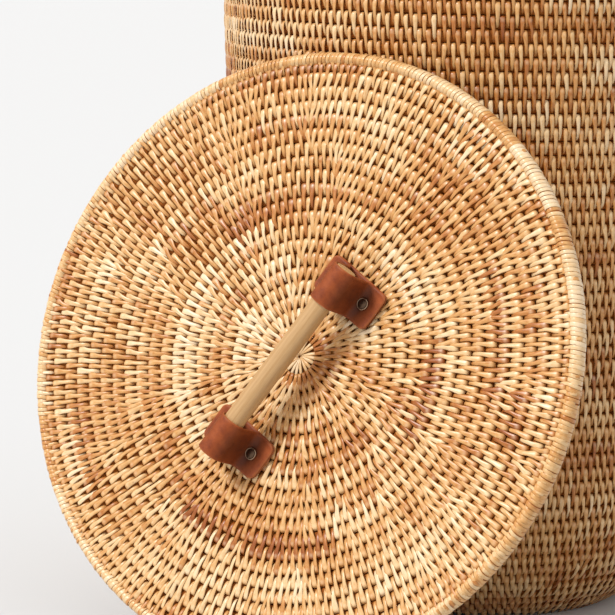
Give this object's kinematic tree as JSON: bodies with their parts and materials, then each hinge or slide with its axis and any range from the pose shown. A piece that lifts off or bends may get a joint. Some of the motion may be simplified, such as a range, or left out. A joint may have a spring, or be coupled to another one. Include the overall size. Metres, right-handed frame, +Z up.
{
  "type": "laundry basket",
  "caption": "Round laundry basket coiled from rattan on a flat base, with a loose flat lid that carries a wooden bar handle in leather straps.",
  "frame": {"origin": "centre of the basket's flat base, on the floor it stands on", "axes": "+Z up; -Y towards the lid, which leans on that side of the wall with its top facing -Y and up; +X to the right when looking along +Y"},
  "size_m": [0.42, 0.5117, 0.5607],
  "materials": {
    "coiled_rattan": "natural cane lashed over rattan core, honey coloured with cream and brown strips, satin",
    "bound_rattan": "narrow golden cane wrapped closely round a coil, satin",
    "tan_leather": "saddle brown vegetable-tanned leather, smooth and slightly waxed",
    "pale_wood": "pale sanded wood, matt",
    "antique_metal": "dark antiqued metal with worn bright edges"
  },
  "bodies": {
    "basket": {"base_centre": "coiled_rattan", "base_course": "coiled_rattan", "wall_course_01": "coiled_rattan", "wall_course_02": "coiled_rattan", "wall_course_03": "coiled_rattan", "wall_course_04": "coiled_rattan", "wall_course_05": "coiled_rattan", "wall_course_06": "coiled_rattan", "wall_course_07": "coiled_rattan", "wall_course_08": "coiled_rattan", "wall_course_09": "coiled_rattan", "wall_course_10": "coiled_rattan", "wall_course_11": "coiled_rattan", "wall_course_12": "coiled_rattan", "wall_course_13": "coiled_rattan", "wall_course_14": "coiled_rattan", "wall_course_15": "coiled_rattan", "mouth_rim": "bound_rattan"},
    "lid": {"lid_centre": "coiled_rattan", "lid_course_1": "coiled_rattan", "lid_course_2": "coiled_rattan", "lid_course_3": "coiled_rattan", "lid_course_4": "coiled_rattan", "lid_border": "bound_rattan", "strap_patch_1": "tan_leather", "strap_patch_2": "tan_leather", "strap_saddle_1": "tan_leather", "strap_saddle_2": "tan_leather", "rivet_1": "antique_metal", "rivet_2": "antique_metal", "rivet_3": "antique_metal", "rivet_4": "antique_metal", "rivet_washer_1": "antique_metal", "rivet_washer_2": "antique_metal", "rivet_washer_3": "antique_metal", "rivet_washer_4": "antique_metal"},
    "grip": {"handle_dowel": "pale_wood"}
  },
  "joints": [
    {"name": "lid_lift", "type": "slide", "parent": "basket", "child": "lid", "axis": [0, -0.9598, 0.2807], "range_m": [0, 0.3]},
    {"name": "grip_turn", "type": "hinge", "parent": "lid", "child": "grip", "pos_m": [0, -0.28149, 0.2037], "axis": [0.527, 0.2385, 0.8157], "continuous": true}
  ]
}
